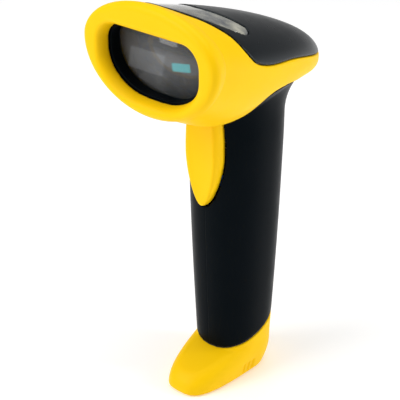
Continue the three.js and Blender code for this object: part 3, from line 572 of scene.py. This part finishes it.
def handle_half(whole, side):
    """One half of the handle, split down the middle along a hairline."""
    half = bpy.data.objects.new("half", whole.data.copy())
    bpy.context.scene.collection.objects.link(half)
    low, high = sorted((side * SEAM_LINE / 2, side * FAR))
    return common(half, block((low, -FAR, FAR_BELOW), (high, FAR_REAR, FAR_ABOVE)))


def lean(point):
    """Turns a point of the trigger's face about the height of its pin."""
    x, y, z = point
    dy = y + TRIGGER_FACE
    dz = z - PIVOT_Z
    back = dy * math.cos(TRIGGER_LEAN) - dz * math.sin(TRIGGER_LEAN)
    up = dy * math.sin(TRIGGER_LEAN) + dz * math.cos(TRIGGER_LEAN)
    return x, back - TRIGGER_FACE, up + PIVOT_Z


def tongue():
    """The trigger: a rounded tongue with a dished face."""
    rings = []
    for share in steps(0, 1, 12):
        turn = share * math.pi / 2
        y = TRIGGER_ROLL_DEPTH * (1 - math.sin(turn)) - TRIGGER_FACE
        inset = TRIGGER_ROLL_WIDTH * (1 - math.cos(turn))
        rings.append([(x, y, z) for x, z in trigger_outline(-inset)])
    rings.reverse()
    rings.append([(x, TRIGGER_BODY - TRIGGER_FACE, z) for x, z in trigger_outline(0)])
    plate = skin([[lean(point) for point in ring] for ring in rings])
    dish = rod("z", DISH_RADIUS, *DISH_SPAN, (0, DISH_DEPTH - TRIGGER_FACE - DISH_RADIUS), 256)
    inner = handle_loft(TRIGGER_BACK, TRIGGER_TIP - 14, TRIGGER_TOP + 10)
    head_room = head_loft(-TRIGGER_GAP, LIP_FACE + SKIN_START)
    return soften(cut(plate, inner, dish, head_room), grain=0.4, passes=20)


# ---------------------------------------------------------------- foot
def foot_size(z, inset):
    """The foot's reach to the front and rear, its half width and its toe's roundness at one height."""
    side, reach = handle_size(max(z, FOOT_FRONT_HEIGHT), inset)
    toe = clamp((z + inset) / FOOT_FRONT_HEIGHT, 0, 1)
    heel = 1 - clamp(z / HEEL_HEIGHT, 0, 1)
    rise = math.sin(clamp(z / FOOT_SIDE_HEIGHT, 0, 1) * math.pi / 2)
    edge = FOOT_EDGE * (1 - clamp(z / FOOT_EDGE, 0, 1))
    front = mix(reach, TOE_REACH - inset, (1 - toe ** TOE_DROP_POWER) ** TOE_FILL_POWER) - edge
    rear = mix(HEEL_REACH - inset, reach, math.sqrt(1 - heel * heel)) - edge
    half = mix(FOOT_HALF_WIDTH - inset, side, rise) - edge
    return front, rear, half, mix(TOE_ROUNDNESS, HANDLE_ROUNDNESS, toe)


def foot_loft(inset, bottom, top):
    def section(z, angle):
        front, rear, half, corner = foot_size(z, inset)
        ahead = math.cos(angle) > 0
        exponent = corner if ahead else HANDLE_ROUNDNESS
        reach = front if ahead else rear
        return half * power(math.sin(angle), exponent), -reach * power(math.cos(angle), exponent), z

    stations = [bottom, bottom + FOOT_EDGE] + steps(bottom + 1.4, FOOT_FRONT_HEIGHT, 30) + [top]
    return loft(stations, 112, section)


def foot_notch(side, y):
    """One of the short grooves that lean with the foot's side wall."""
    rings = []
    for z in (NOTCH_BOTTOM, NOTCH_TOP):
        x = side * foot_size(z, 0)[2]
        circle = arc((x, y), (NOTCH_RADIUS, NOTCH_RADIUS), 0, 360, 24)[:-1]
        rings.append([(px, py, z) for px, py in circle])
    return skin(rings)


def base_cap():
    """The foot: open at the top, with room below for the charging contacts and the screw."""
    outer = common(foot_loft(0, 0, 34), foot_region(SEAL_ROOM / 2))
    shell = cut(outer, foot_loft(WALL, FOOT_FLOOR, 36))
    low, high = span("contact_block")
    seat = block((low.x - FIT, low.y - FIT, -4), (high.x + FIT, high.y + FIT, 4))
    notches = [foot_notch(side, y) for side in (-1, 1) for y in NOTCH_PLACES]
    screw_low, screw_high = span("base_screw")
    middle = (screw_low.y + screw_high.y) / 2
    well = rod("z", SCREW_HEAD_RADIUS + FIT, -4, screw_low.z + 2, (0, middle))
    return soften(cut(shell, seat, well, *notches), grain=0.5, passes=5)


# ---------------------------------------------------------------- window parts
def window_frame():
    """The black ring that holds the pane."""
    ring = window_prism(FRAME_FLANGE, window_low.y, window_high.y)
    opening = window_prism(-FRAME_BAND, window_low.y - 5, window_high.y + 5)
    return soften(cut(ring, opening), grain=0.22, passes=2)


def window_pane():
    """The pane, as thick as in the frame and a hair smaller than its ring."""
    low, high = span("window_pane")
    return prism(window_outline(FRAME_FLANGE - PANE_ROOM), "y", low.y, high.y)


# ---------------------------------------------------------------- materials
DRIFT_SCALE = 35
HAZE_SCALE = 70
CLOUD_SCALE = 150
WEAR_SCALE = 160
TRACK_SCALE = 260
MASK_SCALE = 300
MARK_SCALE = 400
FINE_SCALE = 900
FINE_DEPTH = 0.02 * MM
TRACK_DEPTH = 0.03 * MM
BRUSHED = (1, 1, 0.08)
ACRYLIC_IOR = 1.49

# Dark and light tone, range of roughness, scale and depth of the grain, then what sets it apart.
MOULDED = {
    "yellow_casing": ((0.95, 0.575, 0.001), (0.98, 0.60, 0.0015), (0.42, 0.52), 1800, 0.02 * MM,
                      {"specular": 0.1}),
    "black_casing": ((0.0015, 0.0026, 0.0038), (0.0025, 0.0036, 0.005), (0.3, 0.38), 2600, 0.02 * MM,
                     {"specular": 0.035, "tint": (0.6, 0.85, 1)}),
    "rubber": ((0.012, 0.012, 0.012), (0.02, 0.02, 0.02), (0.7, 0.85), 1500, 0.04 * MM, {}),
    "black_gloss": ((0.002, 0.0034, 0.0045), (0.003, 0.0044, 0.006), (0.26, 0.34), 2600, 0.02 * MM,
                    {"specular": 0.3, "tint": (0.8, 0.93, 1)}),
    "chip": ((0.012, 0.012, 0.014), (0.022, 0.022, 0.025), (0.5, 0.65), 2400, 0.03 * MM, {}),
    "coated_glass": ((0.10, 0.92, 0.98), (0.14, 0.97, 1.0), (0.08, 0.14), 400, 0.01 * MM, {"coat": 1.0}),
    "cell_wrap": ((0.02, 0.13, 0.42), (0.03, 0.17, 0.5), (0.25, 0.35), 700, 0.02 * MM, {"coat": 0.4}),
    "red_wire": ((0.42, 0.01, 0.01), (0.55, 0.02, 0.02), (0.4, 0.5), 1500, 0.02 * MM, {}),
    "white_plastic": ((0.72, 0.72, 0.68), (0.82, 0.82, 0.78), (0.35, 0.5), 1500, 0.02 * MM, {}),
}

# Dark and light tone, and range of roughness.
METALS = {
    "steel": ((0.55, 0.56, 0.58), (0.72, 0.73, 0.74), (0.22, 0.36)),
    "gold_plate": ((0.78, 0.56, 0.22), (0.88, 0.68, 0.3), (0.18, 0.28)),
    "mirror": ((0.82, 0.83, 0.85), (0.92, 0.92, 0.93), (0.16, 0.24)),
}

# Tint, range of roughness, opacity and weight of the clear coat.
CLEAR = {
    "smoked_plastic": ((0.15, 0.157, 0.168), (0.05, 0.1), 0.62, 0.2),
    "clear_plastic": ((0.05, 0.054, 0.058), (0.12, 0.2), 0.85, 0.0),
    "lens_glass": ((0.8, 0.85, 0.9), (0.02, 0.05), 0.45, 1.0),
}

# Colour and strength of a painted glow: the optical surface emits it, though it is no lamp, standing in
# for the light it throws back from inside the head.
PAINTED_GLOWS = {
    "coated_glass": ((0.0, 0.85, 0.9), 1.9),
    "mirror": ((0.8, 0.85, 0.9), 0.34),
}


def new_material(name):
    """An empty node material, with its shader and its node tree."""
    material = bpy.data.materials.new(name)
    material.use_nodes = True
    tree = material.node_tree
    shader = tree.nodes["Principled BSDF"]
    return material, tree, shader


def object_noise(tree, scale, detail=3.0, stretch=None):
    """A noise over the object's own coordinates, with that many lumps per metre."""
    place = tree.nodes.new("ShaderNodeTexCoord").outputs["Object"]
    if stretch:
        mapping = tree.nodes.new("ShaderNodeMapping")
        mapping.inputs["Scale"].default_value = stretch
        tree.links.new(place, mapping.inputs["Vector"])
        place = mapping.outputs["Vector"]
    noise = tree.nodes.new("ShaderNodeTexNoise")
    noise.inputs["Scale"].default_value = scale
    noise.inputs["Detail"].default_value = detail
    tree.links.new(place, noise.inputs["Vector"])
    return noise.outputs["Fac"]


def spread(tree, source, low, high):
    """The middle half of a noise, spread between two values."""
    remap = tree.nodes.new("ShaderNodeMapRange")
    remap.inputs["From Min"].default_value = 0.25
    remap.inputs["From Max"].default_value = 0.75
    remap.inputs["To Min"].default_value = low
    remap.inputs["To Max"].default_value = high
    tree.links.new(source, remap.inputs["Value"])
    return remap.outputs["Result"]


def two_tone(tree, source, dark, light):
    """A colour between two tones."""
    ramp = tree.nodes.new("ShaderNodeValToRGB")
    ramp.color_ramp.elements[0].position = 0.3
    ramp.color_ramp.elements[1].position = 0.7
    ramp.color_ramp.elements[0].color = (*dark, 1)
    ramp.color_ramp.elements[1].color = (*light, 1)
    tree.links.new(source, ramp.inputs["Fac"])
    return ramp.outputs["Color"]


def add_bump(tree, shader, height, distance):
    """A relief on the surface, as deep as the distance in metres."""
    bump = tree.nodes.new("ShaderNodeBump")
    bump.inputs["Distance"].default_value = distance
    bump.inputs["Strength"].default_value = 1.0
    tree.links.new(height, bump.inputs["Height"])
    tree.links.new(bump.outputs["Normal"], shader.inputs["Normal"])


def moulded(name, dark, light, roughness, grain, depth, coat=0.0, specular=0.5, tint=(1, 1, 1)):
    """Moulded plastic: slightly uneven colour and gloss over a grain of that scale and depth."""
    material, tree, shader = new_material(name)
    drift = object_noise(tree, DRIFT_SCALE)
    tree.links.new(two_tone(tree, drift, dark, light), shader.inputs["Base Color"])
    wear = object_noise(tree, WEAR_SCALE, 5)
    tree.links.new(spread(tree, wear, *roughness), shader.inputs["Roughness"])
    shader.inputs["Specular IOR Level"].default_value = specular
    shader.inputs["Specular Tint"].default_value = (*tint, 1)
    shader.inputs["Coat Weight"].default_value = coat
    shader.inputs["Coat Roughness"].default_value = 0.2
    fine = object_noise(tree, grain, 2)
    add_bump(tree, shader, fine, depth)
    return material


def metal(name, dark, light, roughness):
    """Plated metal with fine upright brush marks."""
    material, tree, shader = new_material(name)
    shader.inputs["Metallic"].default_value = 1.0
    marks = object_noise(tree, FINE_SCALE, 2, BRUSHED)
    tree.links.new(two_tone(tree, marks, dark, light), shader.inputs["Base Color"])
    tree.links.new(spread(tree, marks, *roughness), shader.inputs["Roughness"])
    add_bump(tree, shader, marks, FINE_DEPTH)
    return material


def clear(name, tint, roughness, alpha, coat):
    """Tinted clear plastic or glass, with a faint haze of handling marks."""
    material, tree, shader = new_material(name)
    haze = object_noise(tree, HAZE_SCALE, 5)
    pale = tuple(min(1, c * 1.12 + 0.004) for c in tint)
    tree.links.new(two_tone(tree, haze, tint, pale), shader.inputs["Base Color"])
    tree.links.new(spread(tree, haze, *roughness), shader.inputs["Roughness"])
    shader.inputs["IOR"].default_value = ACRYLIC_IOR
    shader.inputs["Alpha"].default_value = alpha
    shader.inputs["Coat Weight"].default_value = coat
    return material


def status_tint():
    """Smoked glossy plastic, its colour painted in pale clouds over a dark tint."""
    material, tree, shader = new_material("status_tint")
    clouds = object_noise(tree, CLOUD_SCALE, 4)
    colour = two_tone(tree, clouds, (0.05, 0.058, 0.075), (0.46, 0.45, 0.36))
    tree.links.new(colour, shader.inputs["Base Color"])
    marks = object_noise(tree, MARK_SCALE, 3)
    tree.links.new(spread(tree, marks, 0.12, 0.24), shader.inputs["Roughness"])
    shader.inputs["Coat Weight"].default_value = 1.0
    shader.inputs["Coat Roughness"].default_value = 0.06
    add_bump(tree, shader, marks, FINE_DEPTH)
    return material


def circuit_board():
    """Green solder mask over a net of copper tracks."""
    material, tree, shader = new_material("circuit_board")
    place = tree.nodes.new("ShaderNodeTexCoord")
    tracks = tree.nodes.new("ShaderNodeTexBrick")
    tracks.inputs["Scale"].default_value = TRACK_SCALE
    tracks.inputs["Mortar Size"].default_value = 0.05
    tracks.inputs["Color1"].default_value = (0.012, 0.10, 0.045, 1)
    tracks.inputs["Color2"].default_value = (0.014, 0.12, 0.05, 1)
    tracks.inputs["Mortar"].default_value = (0.05, 0.24, 0.09, 1)
    tree.links.new(place.outputs["Object"], tracks.inputs["Vector"])
    tree.links.new(tracks.outputs["Color"], shader.inputs["Base Color"])
    haze = object_noise(tree, MASK_SCALE)
    tree.links.new(spread(tree, haze, 0.25, 0.4), shader.inputs["Roughness"])
    add_bump(tree, shader, tracks.outputs["Fac"], TRACK_DEPTH)
    return material


def glow(material, colour, strength):
    """Lets a surface give off a little light of its own."""
    shader = material.node_tree.nodes["Principled BSDF"]
    shader.inputs["Emission Color"].default_value = (*colour, 1)
    shader.inputs["Emission Strength"].default_value = strength
    return material


def make_materials():
    """One material for each slot of the record, with a variant each for the cover and its lens, and a
    painted glow on the filter glass and the mirror.
    """
    made = {name: moulded(name, *values, **extra) for name, (*values, extra) in MOULDED.items()}
    made.update({name: metal(name, *values) for name, values in METALS.items()})
    made.update({name: clear(name, *values) for name, values in CLEAR.items()})
    made["circuit_board"] = circuit_board()
    made["status_tint"] = status_tint()
    # Painted light: the filter glass and the mirror glow, standing in for light reflected inside the
    # head.
    for name, (colour, strength) in PAINTED_GLOWS.items():
        glow(made[name], colour, strength)
    return made


materials = make_materials()


def paint(body, slot):
    body.data.materials.clear()
    body.data.materials.append(materials[slot])


# ---------------------------------------------------------------- pieces that stand for CAD nodes
EDGE_WIDTH = 0.15 * MM
SHARP_EDGE = math.radians(40)


def stand_for(piece, node, body, slot, look=None):
    """Puts a piece in a CAD node's place, in its slot's material or in a variant of it."""
    piece.name = f"{node}_shape"
    piece.data.name = piece.name
    paint(piece, look or slot)
    for face in piece.data.polygons:
        face.use_smooth = True
    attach(piece, body)
    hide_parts(node)


def bevel_edges(node_object):
    """A fine bevel on the edges of a CAD shape."""
    bevel = node_object.modifiers.new("edges", "BEVEL")
    bevel.width = EDGE_WIDTH
    bevel.segments = 2
    bevel.limit_method = "ANGLE"
    bevel.angle_limit = SHARP_EDGE


def build_casings():
    stand_for(nose_shroud(), "nose_shroud", "casing", "yellow_casing")
    stand_for(top_cover(), "top_cover", "casing", "black_casing", "black_gloss")
    stand_for(status_lens(), "status_lens", "casing", "smoked_plastic", "status_tint")
    whole = handle()
    stand_for(handle_half(whole, -1), "handle_left", "casing", "black_casing")
    stand_for(handle_half(whole, 1), "handle_right", "casing", "black_casing")
    bpy.data.objects.remove(whole)
    stand_for(base_cap(), "base_cap", "casing", "yellow_casing")
    stand_for(window_frame(), "window_frame", "casing", "black_casing")
    stand_for(window_pane(), "window_pane", "casing", "smoked_plastic")
    stand_for(tongue(), "trigger", "trigger", "yellow_casing")


def finish_inner_pieces():
    """Every CAD node that still shows keeps its shape, in its slot's material and with finer edges."""
    slots = {part["node"]: part["material_slot"] for part in frame["record"]["subparts"]}
    for node, node_object in frame["nodes"].items():
        if node_object.hide_render:
            continue
        paint(node_object, slots[node])
        bevel_edges(node_object)


# ---------------------------------------------------------------- floor, light and camera
FLOOR_HALF = 6.0
FLOOR_DROP = 0.3 * MM
FLOOR_GLOW = 0.22
WORLD_STRENGTH = 0.3
LIGHT_AIM = (0, -0.01, 0.11)

# Place in metres, width and height in metres, and energy in watts.
SOFTBOXES = {
    "key": ((-0.5, -1.0, 0.8), (0.8, 0.8), 10),
    "strip": ((0.9, 0.55, 0.35), (0.15, 0.9), 5.5),
    "top": ((0, 0.1, 1.5), (1.3, 1.3), 12),
}

CAMERA_AIM = (0, -0.0238, 0.09385)
CAMERA_AZIMUTH = math.radians(42)
CAMERA_ELEVATION = math.radians(26.8)
CAMERA_DISTANCE = 0.5493
FOCAL_LENGTH = 113.3
SENSOR_WIDTH = 36


def build_floor():
    """A wide pale floor, a hair under the foot."""
    size = FLOOR_HALF
    plane = bpy.data.meshes.new("floor")
    corners = [(-size, -size, 0), (size, -size, 0), (size, size, 0), (-size, size, 0)]
    plane.from_pydata(corners, [], [(0, 1, 2, 3)])
    floor = bpy.data.objects.new("floor", plane)
    floor.location.z = -FLOOR_DROP
    bpy.context.scene.collection.objects.link(floor)
    material, tree, shader = new_material("floor")
    grain = object_noise(tree, FINE_SCALE, 2)
    tone = two_tone(tree, grain, (0.89, 0.89, 0.89), (0.91, 0.91, 0.91))
    tree.links.new(tone, shader.inputs["Base Color"])
    shader.inputs["Roughness"].default_value = 0.6
    glow(material, (1, 1, 1), FLOOR_GLOW)
    plane.materials.append(material)


def add_softbox(name, place, size, energy):
    data = bpy.data.lights.new(name, "AREA")
    data.shape = "RECTANGLE"
    data.size, data.size_y = size
    data.energy = energy
    lamp = bpy.data.objects.new(name, data)
    lamp.location = place
    lamp.rotation_mode = "QUATERNION"
    lamp.rotation_quaternion = (Vector(place) - Vector(LIGHT_AIM)).to_track_quat("Z", "Y")
    bpy.context.scene.collection.objects.link(lamp)


def build_light():
    """Even studio light: a dim white world and three softboxes."""
    world = bpy.data.worlds.new("studio")
    world.use_nodes = True
    sky = world.node_tree.nodes["Background"]
    sky.inputs["Color"].default_value = (1, 1, 1, 1)
    sky.inputs["Strength"].default_value = WORLD_STRENGTH
    bpy.context.scene.world = world
    bpy.context.scene.view_settings.view_transform = "Standard"
    for name, (place, size, energy) in SOFTBOXES.items():
        add_softbox(name, place, size, energy)


def build_camera():
    """A long lens that looks down on the nose from the front, on the +X side."""
    data = bpy.data.cameras.new("camera")
    data.lens = FOCAL_LENGTH
    data.sensor_width = SENSOR_WIDTH
    camera = bpy.data.objects.new("camera", data)
    across = math.cos(CAMERA_ELEVATION)
    back = Vector((
        across * math.sin(CAMERA_AZIMUTH), -across * math.cos(CAMERA_AZIMUTH), math.sin(CAMERA_ELEVATION),
    ))
    camera.location = Vector(CAMERA_AIM) + back * CAMERA_DISTANCE
    camera.rotation_mode = "QUATERNION"
    camera.rotation_quaternion = back.to_track_quat("Z", "Y")
    bpy.context.scene.collection.objects.link(camera)
    bpy.context.scene.camera = camera


build_camera()
build_casings()
finish_inner_pieces()
build_floor()
build_light()
